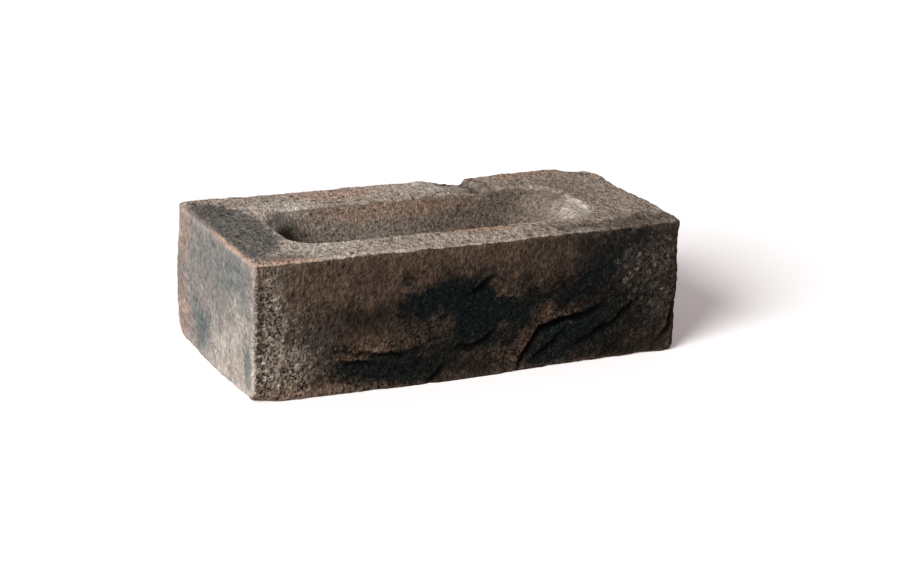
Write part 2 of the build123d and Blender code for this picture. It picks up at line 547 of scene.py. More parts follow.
shifted = vector_of(relief, "ADD", spot, PATTERN_SHIFT)
crumb_away, crumb_pick = cells(vector_of(relief, "ADD", shifted, wavering), given["Crumb spacing"])
crumb = step_of(relief, crumb_away, *CRUMB_SHAPE)
crumb = sum_of(relief, "MULTIPLY", crumb, step_of(relief, crumb_pick, *CRUMB_PICK))
crumbly = strongest(CRUMB_ZONES)
crumb_zone = step_of(relief, crumbly, *CRUMB_EDGE)
crumb = sum_of(relief, "MULTIPLY", crumb, crumb_zone)
crumb = sum_of(relief, "MULTIPLY", crumb, step_of(relief, arris, *CRUMBS_OFF_ARRIS))
push = sum_of(relief, "MULTIPLY_ADD", crumb, given["Crumb height"], push)
print("crumb zones:", ", ".join(CRUMB_ZONES))

# %% Pits: some cells of a second pattern, fewer in the calm places and among crumbs
PIT_SHARE = 0.4
PIT_SHAPE = (0.42, 0.05)
PIT_FADE = (0.1, 0.5)
PITS_AMONG_CRUMBS = 0.3

pit_away, pit_pick = cells(shifted, given["Pit spacing"])
open_pit = step_of(relief, pit_pick, 1.0 - PIT_SHARE, 1.0)
bowl = step_of(relief, pit_away, *PIT_SHAPE)
pits = sum_of(relief, "MULTIPLY", sum_of(relief, "MULTIPLY", bowl, open_pit), given["Pit depth"])
pits = sum_of(relief, "MULTIPLY", pits, calm)
pits = sum_of(relief, "MULTIPLY", pits, step_of(relief, crumbly, *PIT_FADE, 1.0, PITS_AMONG_CRUMBS))
push = sum_of(relief, "SUBTRACT", push, pits)
print("share of cells with a pit:", PIT_SHARE)

# %% [markdown]
# ## Pressing the folds in
#
# Each fold has a saw-tooth section: a lip that stands out above the line and a ramp that sinks towards the
# line from below. A swept profile would cut through the skin, so the skin is moved instead. Every point
# finds the nearest place on a fold line, and its distance above or below that place says how far it moves.

# %% Folds: find the nearest place on a fold line
LINE_STEP = 0.5 * MM

seen_from = vector_of(relief, "ADD", spot, wavering)
lines = put(relief, "GeometryNodeObjectInfo", {"Object": given["Fold lines"]})
feeds = {"Curve": lines.outputs["Geometry"], "Length": LINE_STEP}
beads = put(relief, "GeometryNodeCurveToPoints", feeds, mode="LENGTH")
feeds = {"Geometry": beads.outputs["Points"], "Sample Position": seen_from}
nearest = out_of(put(relief, "GeometryNodeSampleNearest", feeds))


def at_nearest(value, kind):
    """A field of the fold lines, read at the place nearest to the point."""
    feeds = {"Geometry": beads.outputs["Points"], "Value": value, "Index": nearest}
    return out_of(put(relief, "GeometryNodeSampleIndex", feeds, data_type=kind))


line_spot = at_nearest(out_of(put(relief, "GeometryNodeInputPosition")), "FLOAT_VECTOR")
line_way = at_nearest(beads.outputs["Tangent"], "FLOAT_VECTOR")
crease_depth = at_nearest(out_of(put(relief, "GeometryNodeInputRadius")), "FLOAT")
from_line = vector_of(relief, "SUBTRACT", seen_from, line_spot)
print("nearest fold found for every point")

# %% Folds: a lip above the line, a crease and a ramp below it
FACE_OUTWARDS = (0.0, -1.0, 0.0)
LIP_SHARE = 0.45
SEAM = 0.5 * MM
LINE_END = (2.5 * MM, 0.5 * MM)
FACE_SKIN = (8 * MM, 5 * MM)

lip_way = vector_of(relief, "CROSS_PRODUCT", FACE_OUTWARDS, line_way)
above = vector_of(relief, "DOT_PRODUCT", from_line, lip_way)
below = sum_of(relief, "MULTIPLY", above, -1.0)
past_end = sum_of(relief, "ABSOLUTE", vector_of(relief, "DOT_PRODUCT", from_line, line_way))
off_face = sum_of(relief, "ABSOLUTE", vector_of(relief, "DOT_PRODUCT", from_line, FACE_OUTWARDS))
beside = sum_of(relief, "MULTIPLY", step_of(relief, past_end, *LINE_END), crease_depth)
beside = sum_of(relief, "MULTIPLY", beside, step_of(relief, off_face, *FACE_SKIN))
ramp = step_of(relief, below, given["Fold ramp"], 0.0)
ramp = sum_of(relief, "MULTIPLY", ramp, step_of(relief, above, SEAM, -SEAM))
ramp = sum_of(relief, "MULTIPLY", ramp, beside)
lip = step_of(relief, above, given["Fold lip"], 0.0)
lip = sum_of(relief, "MULTIPLY", lip, step_of(relief, above, -SEAM, SEAM))
lip = sum_of(relief, "MULTIPLY", lip, beside)
push = sum_of(relief, "SUBTRACT", push, ramp)
push = sum_of(relief, "MULTIPLY_ADD", lip, LIP_SHARE, push)
print("fold section wired")

# %% [markdown]
# ## Masks for the material
#
# Shade is painted into hollows and creases and a highlight on lips, and arrises rub pale, so the material
# has to know where they are. Cycles can guess it with the Pointiness of a mesh, but only from one face to the
# next. The tree knows it better, so it writes each mask on the points as a named attribute, moves the points,
# and then measures the hollows that it made.


# %% Write down the masks, move the points and keep the lower bed on the floor
def keep(geometry, name, value, kind="FLOAT"):
    """Write a field down on the points under a name."""
    feeds = {"Geometry": geometry, "Name": name, "Value": value}
    return out_of(put(relief, "GeometryNodeStoreNamedAttribute", feeds, data_type=kind))


FULL_FOLD = 1.3 * MM
NORMAL_BLUR = 4

skin_now = keep(given["Geometry"], "facing", blurred(outwards, NORMAL_BLUR), "FLOAT_VECTOR")
skin_now = keep(skin_now, "arris", arris)
skin_now = keep(skin_now, "crumb", crumb)
skin_now = keep(skin_now, "torn", sum_of(relief, "MAXIMUM", torn, crumb_zone))
# The crease and lip masks later paint shade under each lip and a highlight on it.
skin_now = keep(skin_now, "crease", sum_of(relief, "DIVIDE", ramp, FULL_FOLD))
skin_now = keep(skin_now, "lip", sum_of(relief, "DIVIDE", lip, FULL_FOLD))
feeds = {"Geometry": skin_now, "Offset": vector_of(relief, "SCALE", outwards, push)}
skin_now = out_of(put(relief, "GeometryNodeSetPosition", feeds))
moved_x, moved_y, moved_z = put(relief, "ShaderNodeSeparateXYZ", {0: spot}).outputs
feeds = {0: moved_x, 1: moved_y, 2: sum_of(relief, "MAXIMUM", moved_z, 0.0)}
on_floor = out_of(put(relief, "ShaderNodeCombineXYZ", feeds))
skin_now = out_of(put(relief, "GeometryNodeSetPosition", {"Geometry": skin_now, "Position": on_floor}))
print("points move along their normals")

# %% Write down the hollows and finish the tree
HOLLOW_BLUR = 5
HOLLOW_FULL = 0.35 * MM

# The hollow mask later paints shade into hollows and a highlight on raised spots.
sunk = vector_of(relief, "SUBTRACT", blurred(spot, HOLLOW_BLUR), spot)
sunk = vector_of(relief, "DOT_PRODUCT", sunk, outwards)
skin_now = keep(skin_now, "hollow", sum_of(relief, "DIVIDE", sunk, HOLLOW_FULL))
skin_now = out_of(put(relief, "GeometryNodeSetShadeSmooth", {"Geometry": skin_now}))
skin_now = out_of(put(relief, "GeometryNodeRealizeInstances", {"Geometry": skin_now}))
skin_now = out_of(put(relief, "GeometryNodeSetMaterial", {"Geometry": skin_now, "Material": given["Clay"]}))
put(relief, "NodeGroupOutput", {"Geometry": skin_now})
print("relief tree nodes:", len(relief.nodes))

# %% [markdown]
# ## Fire marks and sand grain as node groups
#
# Fired clay is never one colour. Sand, ash and smoke leave marks in the kiln: pale grey where ash lay, umber
# where the flame passed, blue-black where the clay was starved of air, salmon where an arris rubbed clean.
# A painted picture could hold them, but procedural marks stay sharp at any size. Each mark is a soft ragged
# ellipsoid with its own place and colour, so one node group makes the mask of any mark. A second group makes
# sand grain of any size: dust from noise, and pale and dark grains from the cells of a Voronoi pattern.

# %% A node group for one fire mark
fire_mark = bpy.data.node_groups.new("fire_mark", "ShaderNodeTree")
gives(fire_mark, "Mask", "Float")
for name in ("Place", "Centre", "Reach"):
    takes(fire_mark, name, "Vector")
for name in ("Ragged", "Softness", "Side"):
    takes(fire_mark, name, "Float")
mark_in = put(fire_mark, "NodeGroupInput").outputs
away = vector_of(fire_mark, "SUBTRACT", mark_in["Place"], mark_in["Centre"])
away = vector_of(fire_mark, "DIVIDE", away, mark_in["Reach"])
rim_away = sum_of(fire_mark, "ADD", vector_of(fire_mark, "LENGTH", away), mark_in["Ragged"])
inner = sum_of(fire_mark, "SUBTRACT", 1.0, mark_in["Softness"])
outer = sum_of(fire_mark, "ADD", 1.0, mark_in["Softness"])
shape = step_of(fire_mark, rim_away, outer, inner)
put(fire_mark, "NodeGroupOutput", {"Mask": sum_of(fire_mark, "MULTIPLY", shape, mark_in["Side"])})
print("fire mark nodes:", len(fire_mark.nodes))

# %% A node group for sand grain
DUST_DETAIL, DUST_ROUGHNESS = 3.0, 0.65
DUST_CONTRAST = 3.0
GRAIN_CONTRAST = 0.5
GRAIN_SHAPE = (0.7, 0.15)
GRAIN_PICK = (0.5, 1.0)
WOBBLE_SCALE = 0.8

sand = bpy.data.node_groups.new("sand_grain", "ShaderNodeTree")
for name in ("Speckle", "Salt", "Height"):
    gives(sand, name, "Float")
takes(sand, "Place", "Vector")
takes(sand, "Grain size", "Float")
sand_in = put(sand, "NodeGroupInput").outputs
scale = sum_of(sand, "DIVIDE", 1.0, sand_in["Grain size"])
feeds = {"Vector": sand_in["Place"], "Scale": scale, "Detail": DUST_DETAIL, "Roughness": DUST_ROUGHNESS}
dust = put(sand, "ShaderNodeTexNoise", feeds).outputs[0]
wobble = put(sand, "ShaderNodeTexNoise", {"Vector": sand_in["Place"], "Scale": WOBBLE_SCALE})
wobbled = vector_of(sand, "ADD", sand_in["Place"], wobble.outputs["Color"])
grains = put(sand, "ShaderNodeTexVoronoi", {"Vector": wobbled, "Scale": scale, "Randomness": 1.0})
pick = put(sand, "ShaderNodeSeparateXYZ", {0: grains.outputs["Color"]}).outputs
body = step_of(sand, grains.outputs["Distance"], *GRAIN_SHAPE)
pale = sum_of(sand, "MULTIPLY", body, step_of(sand, pick[0], *GRAIN_PICK))
dark = sum_of(sand, "MULTIPLY", body, step_of(sand, pick[1], *GRAIN_PICK))
pale_or_dark = sum_of(sand, "SUBTRACT", pale, dark)
dusty = sum_of(sand, "MULTIPLY_ADD", dust, DUST_CONTRAST, -DUST_CONTRAST / 2)
dusty = sum_of(sand, "MULTIPLY_ADD", pale_or_dark, GRAIN_CONTRAST, dusty)
grain_height = sum_of(sand, "MULTIPLY_ADD", pale_or_dark, GRAIN_CONTRAST, dust)
put(sand, "NodeGroupOutput", {"Speckle": dusty, "Salt": pale, "Height": grain_height})
print("sand grain nodes:", len(sand.nodes))

# %% [markdown]
# ## The clay material and the sides of the brick
#
# A mark on the face must not wrap round an arris on to the end, because each side lay differently in the
# kiln. Separate materials for the sides would leave straight seams. So there is one material with a mask for
# each side, from the way the skin looks, and noise nibbles the masks' edges as wear nibbles an arris.

# %% Name the colours of the clay
CLAY = {
    "pink grey": chart(142, 133, 128),
    "green grey": chart(99, 106, 104),
    "cream": chart(190, 179, 168),
    "salmon": chart(172, 138, 121),
    "rubbed salmon": chart(188, 147, 127),
    "rim beige": chart(168, 152, 139),
    "pale rim": chart(192, 182, 170),
    "rim orange": chart(172, 134, 112),
    "smoke and shade": chart(99, 95, 91),
    "bed brown": chart(116, 102, 91),
    "bed dark": chart(72, 61, 53),
    "umber": chart(114, 92, 77),
    "dark umber": chart(50, 41, 34),
    "rust": chart(92, 73, 59),
    "blue black": chart(12, 19, 19),
    "soot": chart(22, 20, 16),
    "ash": chart(142, 127, 114),
    "ash grey": chart(80, 71, 64),
    "salt": chart(178, 166, 154),
    "frog brown": chart(123, 111, 101),
    "frog shade": chart(98, 86, 76),
    # Painted shadow for the frog's left end:
    "frog shadow": chart(58, 48, 41),
}
print("clay colours:", ", ".join(CLAY))

# %% Start the material: places in millimetres, kept masks and noises
fired_clay = bpy.data.materials.new("fired_clay")
fired_clay.use_nodes = True
tree = fired_clay.node_tree
tree.nodes.clear()
place = vector_of(tree, "SCALE", put(tree, "ShaderNodeTexCoord").outputs["Object"], 1.0 / MM)


def kept(name, output="Fac"):
    """A mask that the geometry tree wrote down."""
    return put(tree, "ShaderNodeAttribute", attribute_name=name).outputs[output]


def cloud(size, detail=2.0, rough=0.5):
    """Noise from 0 to 1 with bumps of that many millimetres."""
    feeds = {"Vector": place, "Scale": 1.0 / size, "Detail": detail, "Roughness": rough}
    return put(tree, "ShaderNodeTexNoise", feeds).outputs[0]


def swing(amount, middle, size, detail, rough):
    """Noise that swings by that amount in all, about a middle."""
    return sum_of(tree, "MULTIPLY_ADD", cloud(size, detail, rough), amount, middle - amount / 2)


ragged = swing(amount=3.4, middle=0.0, size=11.0, detail=7.0, rough=0.72)
crisp = swing(amount=0.7, middle=0.0, size=5.0, detail=4.0, rough=0.6)
nibble = swing(amount=1.3, middle=0.0, size=4.5, detail=4.0, rough=0.6)
print("material started")

# %% Masks for the sides of the brick and for its frog
SIDE_START, SIDE_FULL = 0.4, 0.65
FROG_HALF_LENGTH, FROG_HALF_WIDTH = 80.5, 29.5
FROG_MIDDLE = (-1.5, -2.0)
FROG_RISE = (0.0, 20.0)
BED_HEIGHT = high.z / MM
RIM_WEAR = 3.0
RIM_RISE = (BED_HEIGHT - 4.5, BED_HEIGHT - 0.8)

x_way, y_way, z_way = put(tree, "ShaderNodeSeparateXYZ", {0: kept("facing", "Vector")}).outputs
x, y, z = put(tree, "ShaderNodeSeparateXYZ", {0: place}).outputs
in_length = sum_of(tree, "ABSOLUTE", sum_of(tree, "SUBTRACT", x, FROG_MIDDLE[0]))
in_width = sum_of(tree, "ABSOLUTE", sum_of(tree, "SUBTRACT", y, FROG_MIDDLE[1]))
inside = sum_of(tree, "LESS_THAN", in_length, FROG_HALF_LENGTH)
inside = sum_of(tree, "MULTIPLY", inside, sum_of(tree, "LESS_THAN", in_width, FROG_HALF_WIDTH))
outside = sum_of(tree, "SUBTRACT", 1.0, inside)
upper = step_of(tree, sum_of(tree, "ADD", z_way, nibble), SIDE_START, SIDE_FULL)
worn_z = sum_of(tree, "MULTIPLY_ADD", nibble, RIM_WEAR, z)
rim = sum_of(tree, "MULTIPLY", upper, step_of(tree, worn_z, *RIM_RISE))
below_rim = sum_of(tree, "SUBTRACT", step_of(tree, z, *FROG_RISE), rim)


def outer_side(way, sign):
    """1 where the skin looks that way, and 0 in the frog, whose walls look all ways."""
    way = sum_of(tree, "MULTIPLY_ADD", nibble, -sign, way)
    return sum_of(tree, "MULTIPLY", step_of(tree, way, sign * SIDE_START, sign * SIDE_FULL), outside)


sides = {
    "left": outer_side(x_way, -1),
    "right": outer_side(x_way, 1),
    "face": outer_side(y_way, -1),
    "back": outer_side(y_way, 1),
    "under": step_of(tree, z_way, -SIDE_START, -SIDE_FULL),
    "bed": sum_of(tree, "MAXIMUM", rim, sum_of(tree, "MULTIPLY", upper, outside)),
    "frog": sum_of(tree, "MULTIPLY", inside, below_rim),
    "arris": kept("arris"),
}
print("sides:", ", ".join(sides))

# %% [markdown]
# ## Laying the fire marks
#
# The marks are laid like coats of thin paint: each is mixed over what is there, through its mask. They are
# placed one by one, in millimetres from the middle of the brick and up from its lower bed, because the dark
# middle, the rusty ridges and the smoked end are what makes this brick itself. Noise only frays their edges.


# %% Lay colours over each other
def mixed(factor, under, over):
    """One colour mixed over another."""
    return out_of(put(tree, "ShaderNodeMix", {"Factor": factor, "A": under, "B": over}, data_type="RGBA"))


ground = cloud(size=18.0, detail=3.0, rough=0.55)
coats = [mixed(ground, CLAY["umber"], CLAY["dark umber"])]


def lay(colour_name, mask, strength=1.0):
    """Lay a colour over what is there, through a mask."""
    factor = sum_of(tree, "MULTIPLY", mask, strength)
    coats.append(mixed(factor, coats[-1], CLAY[colour_name]))


lay("pink grey", sides["left"])
lay("rim beige", sides["under"])
lay("rim beige", sides["bed"])
lay("frog brown", sides["frog"])
print("grounds laid:", len(coats))

# %% Helpers that lay one fire mark
FACE_Y, LEFT_X = -51, -107
MARK_DEPTH = 20


def mark_mask(side, centre, reach, softness, turn=0.0, edge=ragged):
    """Where a fire mark lies. Its turn is in degrees, about the line that looks out of the face."""
    feeds = {"Place": place, "Centre": centre, "Reach": reach, "Ragged": edge}
    feeds.update({"Softness": softness, "Side": sides[side]})
    if turn:
        turning = {"Vector": place, "Center": centre, "Angle": math.radians(-turn)}
        feeds["Place"] = out_of(put(tree, "ShaderNodeVectorRotate", turning, rotation_type="Y_AXIS"))
    return put(tree, "ShaderNodeGroup", feeds, node_tree=fire_mark).outputs["Mask"]


def mark(colour_name, side, centre, reach, strength, softness, turn=0.0, edge=ragged):
    """Lay one fire mark. Its strength is how much it covers, its softness how wide its edge fades."""
    lay(colour_name, mark_mask(side, centre, reach, softness, turn, edge), strength)


def face_mark(colour_name, centre, reach, strength, softness, turn=0.0):
    """Lay a mark on the face. Its centre and reach are along the brick and upwards."""
    centre = (centre[0], FACE_Y, centre[1])
    mark(colour_name, "face", centre, (reach[0], MARK_DEPTH, reach[1]), strength, softness, turn)


def left_mark(colour_name, centre, reach, strength, softness):
    """Lay a mark on the left end. Its centre and reach are across the brick and upwards."""
    mark(colour_name, "left", (LEFT_X, *centre), (MARK_DEPTH, *reach), strength, softness)


print("fire marks ready")

# %% Marks on the face: the dark right half, the starved middle and the rusty ridges
CRUMB_ASH = 0.25

# The dark right half is partly darker clay and partly painted shade where the light falls off to the right.
face_mark("dark umber", (95, 26), (92, 62), 0.95, 0.5)
face_mark("dark umber", (-30, 16), (66, 26), 0.8, 0.6)
face_mark("dark umber", (-52, 33), (28, 9), 0.65, 0.7)
face_mark("dark umber", (-77, 30), (13, 8), 0.4, 0.7)
face_mark("soot", (-55, 34), (9, 4), 0.5, 0.6)
face_mark("dark umber", (-22, 24), (20, 9), 0.85, 0.7)
face_mark("soot", (62, 24), (50, 24), 0.95, 0.5)
face_mark("soot", (54, 36), (26, 10), 0.7, 0.6)
face_mark("ash grey", (-84, 26), (16, 14), 0.5, 0.5)
face_mark("blue black", (-17, 41), (20, 12), 1.0, 0.4)
face_mark("blue black", (2, 36), (15, 16), 1.0, 0.4)
face_mark("blue black", (4, 24), (15, 10), 0.95, 0.5)
face_mark("blue black", (21, 31), (13, 7), 0.9, 0.5)
face_mark("blue black", (62, 41), (17, 6), 0.9, 0.5, -35)
face_mark("blue black", (73, 55), (17, 9), 0.75, 0.6)
face_mark("blue black", (-38, 10), (28, 8), 0.95, 0.45)
face_mark("blue black", (-64, 20), (7, 3.5), 0.9, 0.45)
face_mark("blue black", (-60, 6), (8, 4), 0.85, 0.45)
face_mark("blue black", (54, 15), (26, 10), 1.0, 0.5, -18)
face_mark("soot", (0, 10), (32, 12), 0.55, 0.5)
face_mark("blue black", (0, 19), (22, 6), 0.6, 0.6)
face_mark("soot", (84, 14), (24, 12), 0.8, 0.5)
face_mark("rust", (-48, 20.5), (13, 3.5), 0.7, 0.6, 6)
face_mark("rust", (-63, 17), (10, 2), 0.5, 0.6, 6)
face_mark("rust", (-48, 23), (13, 5), 0.65, 0.6)
face_mark("rust", (-23, 53), (5, 7), 0.55, 0.5)
face_mark("rust", (36, 48), (6, 7), 0.45, 0.5)
face_mark("rust", (38, 27), (6, 4), 0.6, 0.6)
face_mark("rust", (52, 27.5), (7, 2.5), 0.3, 0.6, -14)
face_mark("rust", (25, 12), (3.5, 9), 0.5, 0.6, 35)
face_mark("rust", (15, 9), (6, 4), 0.35, 0.6)
face_mark("rust", (4, 58), (38, 8), 0.3, 0.7)
face_mark("rust", (103, 16), (6, 10), 0.15, 0.6)
face_mark("rust", (89, 10), (8, 5), 0.15, 0.6)
face_mark("blue black", (86, 57), (6, 7), 0.7, 0.6)
face_mark("ash grey", (85, 46), (7, 9), 0.4, 0.9)
face_mark("ash grey", (97, 48), (6, 8), 0.4, 0.9)
face_mark("ash grey", (97, 27), (7, 8), 0.25, 0.9)
lay("ash", sum_of(tree, "MULTIPLY", kept("crumb"), sides["face"]), CRUMB_ASH)
face_mark("ash", (-99, 40), (8, 32), 0.7, 0.7)
face_mark("ash", (-96, 12), (12, 15), 0.85, 0.7)
mark("dark umber", "face", (-106, -51, 38), (3, 6, 34), 0.7, 0.6)
face_mark("umber", (-86, 2), (28, 5), 0.75, 0.6)
print("coats after the face:", len(coats))

# %% Marks on the left end
left_mark("green grey", (-5, 50), (40, 14), 0.4, 0.8)
left_mark("green grey", (-25, 52), (16, 14), 0.4, 0.7)
left_mark("green grey", (17, 16), (10, 9), 0.95, 0.6)
left_mark("green grey", (27, 28), (6, 8), 0.4, 0.7)
left_mark("salmon", (44, 12), (9, 14), 0.6, 0.5)
left_mark("salmon", (44, 56), (10, 14), 0.5, 0.7)
left_mark("bed brown", (46, 33), (7, 10), 0.6, 0.7)
left_mark("cream", (-10, 9), (14, 9), 0.6, 0.6)
left_mark("cream", (-32, 16), (18, 22), 0.6, 0.6)
left_mark("salmon", (-21, 9), (4, 6), 0.35, 0.6)
left_mark("green grey", (-44, 17), (4, 9), 0.75, 0.5)
print("coats after the left end's marks:", len(coats))

# %% Blotches all over the left end
BLOTCH_SIZE = 9.0
BLOTCH_START, BLOTCH_FULL = 0.48, 0.62
BLOTCHES = 0.3

blotched = step_of(tree, cloud(BLOTCH_SIZE, detail=3.0, rough=0.6), BLOTCH_START, BLOTCH_FULL)
lay("green grey", sum_of(tree, "MULTIPLY", sides["left"], blotched), BLOTCHES)
print("coats after the left end:", len(coats))

# %% Marks on the sides that the camera does not see: much like those of the face
mark("dark umber", "back", (-55, 51, 30), (45, 20, 26), 0.7, 0.6)
mark("blue black", "back", (48, 51, 18), (30, 20, 13), 0.8, 0.5)
mark("rust", "back", (0, 51, 46), (34, 20, 9), 0.6, 0.6)
mark("rim beige", "back", (28, 50, 64), (14, 8, 3.5), 0.9, 0.4)
mark("ash grey", "back", (84, 51, 44), (18, 20, 16), 0.6, 0.7)
mark("dark umber", "right", (107, 0, 30), (20, 44, 30), 0.8, 0.7)
mark("blue black", "right", (107, 16, 17), (20, 20, 11), 0.8, 0.5)
mark("rust", "right", (107, 34, 44), (20, 13, 12), 0.6, 0.6)
mark("ash grey", "right", (107, -34, 44), (20, 14, 14), 0.6, 0.7)
mark("bed brown", "under", (35, 5, 0), (55, 34, 10), 0.7, 0.7)
mark("smoke and shade", "under", (-68, -8, 0), (30, 30, 10), 0.7, 0.6)
print("coats after the hidden sides:", len(coats))

# %% Marks on the bed and in the frog
# The bed's browner right part is partly browner clay and partly painted shade where the light falls off to
# the right.
mark("bed brown", "bed", (105, 5, 65), (75, 90, 20), 0.55, 0.7)
mark("bed brown", "bed", (55, 22, 64), (32, 12, 12), 0.35, 0.7)
mark("bed brown", "bed", (77, 8, 63.5), (8, 26, 4), 0.5, 0.6)
mark("pale rim", "bed", (73.5, -9, 62.5), (6, 13, 4), 0.65, 0.5)
mark("rim orange", "bed", (70, 44, 65), (30, 6, 12), 0.35, 0.6)
# Painted shade under the right shoulder of the nick.
mark("bed dark", "bed", (41, 38, 63), (6, 16, 7), 0.7, 0.5)
mark("frog shade", "frog", (34, 5, 52), (34, 60, 30), 0.9, 0.6)
mark("pale rim", "bed", (-70, -32, 65), (18, 10, 12), 0.7, 0.5)
mark("pale rim", "bed", (-65, 30, 65), (16, 8, 12), 0.7, 0.5)
mark("pale rim", "bed", (5, 40, 65), (32, 9, 12), 0.55, 0.6)
mark("rim orange", "bed", (-28, 40, 65), (26, 7, 12), 0.5, 0.6)
mark("frog brown", "bed", (-5, 26, 64.5), (48, 3, 3), 0.6, 0.5)
mark("rim orange", "bed", (14, -32, 64), (16, 3.5, 12), 0.7, 0.6)
mark("bed brown", "bed", (-91, -45, 65), (12, 5, 12), 0.7, 0.5)
mark("rim orange", "bed", (-94, -50, 65), (14, 3, 6), 0.6, 0.5)
mark("bed dark", "bed", (86, -47, 65), (36, 10, 12), 0.8, 0.6)
mark("smoke and shade", "bed", (-102.5, 1, 65), (22.5, 42, 12), 0.9, 0.12, edge=crisp)
mark("soot", "bed", (-99, 32, 65), (12, 9, 12), 0.2, 0.4, edge=crisp)
mark("pale rim", "bed", (-78.5, -2, 64), (2.5, 20, 4), 0.6, 0.5)
# The frog's left end: the dark marks are the left rim's painted shadow on its walls, and the pale rim marks
# above them are a painted highlight on the mouth edge and the lit back slope.
mark("frog shadow", "frog", (-70, 2, 54), (12, 20, 9), 1.0, 0.6)
mark("pale rim", "frog", (-72, 22, 63), (14, 8, 6), 0.8, 0.5)
mark("pale rim", "frog", (-77, 4, 62), (4, 18, 4), 0.8, 0.5)
mark("frog shadow", "frog", (-67, 8, 54), (6, 14, 6), 0.6, 0.5)
mark("rim orange", "frog", (-15, 24, 61), (40, 8, 5), 0.3, 0.6)
mark("rim beige", "frog", (68, -5, 58), (16, 20, 12), 0.3, 0.8)
mark("pale rim", "frog", (74, -9, 61.5), (9, 13, 6), 0.45, 0.8)
print("coats after the bed and the frog:", len(coats))

# %% Marks along the arrises
mark("bed brown", "arris", (-107, 50, 64), (5, 7, 5), 0.8, 0.5)
mark("salmon", "arris", (-107.4, -8, 64.4), (1.8, 48, 1.8), 0.5, 0.4, edge=crisp)
# Painted shade: a dark grey line along the back half of the left top arris.
mark("smoke and shade", "arris", (-106, 26, 65), (2.4, 22, 1.8), 0.9, 0.4, edge=crisp)
mark("rubbed salmon", "arris", (-107.4, -24, 64.4), (1.6, 25, 1.6), 0.65, 0.5, edge=crisp)
# The pale line down the near left upright arris is partly rubbed clay and partly a painted highlight.
mark("salmon", "arris", (-107, -51, 50), (1.4, 1.4, 22), 0.9, 0.4, edge=crisp)
mark("cream", "arris", (-107, -51, 20), (1.4, 1.4, 26), 0.6, 0.4, edge=crisp)
mark("rubbed salmon", "arris", (-107, 0, 1), (5, 70, 3), 0.5, 0.5)
# Painted light: a warm line along the foot of the face, standing in for floor bounce light on the lower
# arris.
mark("umber", "arris", (0, -51, 1), (130, 6, 3), 0.8, 0.5)
mark("rust", "arris", (107, -51, 34), (4, 4, 40), 0.6, 0.5)
print("coats of colour in all:", len(coats))

# %% [markdown]
# ## Salt, and painted shade in pores
#
# Pale sand stuck to parts of the face, and the bed is open with pores where grains fell out, whose shade is
# painted. Scattered beads would be far too many. The sand group's pale grains serve for both: small ones are
# the salt, and large ones with a ragged edge, laid dark, are the painted shade of the pores.


# %% Salt on the face and painted shade in the bed's pores
def sand_at(where, grain):
    """Sand grain of that many millimetres."""
    return put(tree, "ShaderNodeGroup", {"Place": where, "Grain size": grain}, node_tree=sand).outputs


SALT_GRAIN = 1.5
SALT_SOFTNESS = 0.7
FACE_SALT_GRAIN = 1.0
FACE_SALT = 0.25
PORE_SPACING = 3.5
PORE_RAGGED_SIZE = 1.4
PORE_RAGGED = 0.9
PORE_START, PORE_FULL = 0.95, 1.25
PORE_DARK = 0.7
SALT_PLACES = {
    "left of the face": ((-99, -51, 36), (11, 20, 36), 0.65),
    "foot of the face, left": ((-90, -51, 20), (18, 20, 15), 0.5),
    "right of the face": ((91, -51, 42), (20, 20, 24), 0.15),
}

face_salt = sum_of(tree, "MULTIPLY", sides["face"], sand_at(place, FACE_SALT_GRAIN)["Salt"])
lay("ash grey", face_salt, FACE_SALT)
pore_grains = sand_at(place, PORE_SPACING)["Salt"]
pore_shade = sum_of(tree, "MULTIPLY_ADD", cloud(PORE_RAGGED_SIZE), PORE_RAGGED, pore_grains)
pore_shade = step_of(tree, pore_shade, PORE_START, PORE_FULL)
lay("dark umber", sum_of(tree, "MULTIPLY", sides["bed"], pore_shade), PORE_DARK)
salt = sand_at(place, SALT_GRAIN)["Salt"]
for centre, reach, strength in SALT_PLACES.values():
    salted = mark_mask("face", centre, reach, SALT_SOFTNESS)
    lay("salt", sum_of(tree, "MULTIPLY", salted, salt), strength)
print("salted:", ", ".join(SALT_PLACES))

# %% [markdown]
# ## Sand grain, painted shade and the shader
#
# The mould was sanded, so the whole skin has a grain: coarse where the clay tore, finer and streaked where it
# was struck off. Grain this fine would need millions of faces, so it is colour and bump, while the larger
# forms are real. The kept masks paint shade into hollows and creases and a highlight on lips and raised
# spots. The clay is matt, so the shader is rough and hardly shines.

# %% How much grain each side takes
FINE_GRAIN, COARSE_GRAIN = 1.3, 2.6
FINE_ON = {"left": 0.3, "right": 1.2, "face": 1.1, "back": 1.2, "under": 0.6, "bed": 0.7, "frog": 1.2}
COARSE_ON = {"left": 0.4, "right": 0.4, "face": 0.45, "back": 0.4, "under": 0.6, "bed": 0.55, "frog": 0.4}
BUMP_ON = {"left": 0.35, "right": 0.9, "face": 1.0, "back": 0.9, "under": 0.8, "bed": 0.65, "frog": 0.55}
LEAST_WEIGHT = 0.4


def share_of(shares):
    """How much of something a place takes: the mean of the shares of the sides that meet there."""
    total, weight = 0.0, 0.0
    for side, share in shares.items():
        total = sum_of(tree, "MULTIPLY_ADD", sides[side], share, total)
        weight = sum_of(tree, "ADD", sides[side], weight)
    return sum_of(tree, "DIVIDE", total, sum_of(tree, "MAXIMUM", weight, LEAST_WEIGHT))


print("grain on", len(FINE_ON), "sides")

# %% Sand grain over everything, dragged where the clay was struck off
BED_STRIKE = math.radians(26)
BED_DRAG = (1.0, 0.55, 1.0)
FACE_DRAG = (1.0, 1.0, 0.5)
SMOOTH_GRAIN, TORN_GRAIN = 0.75, 1.55
MOTTLE_SIZE = 6.0
MOTTLE = 0.5
DARKEST = 0.12
COARSE_HEIGHT = 0.8

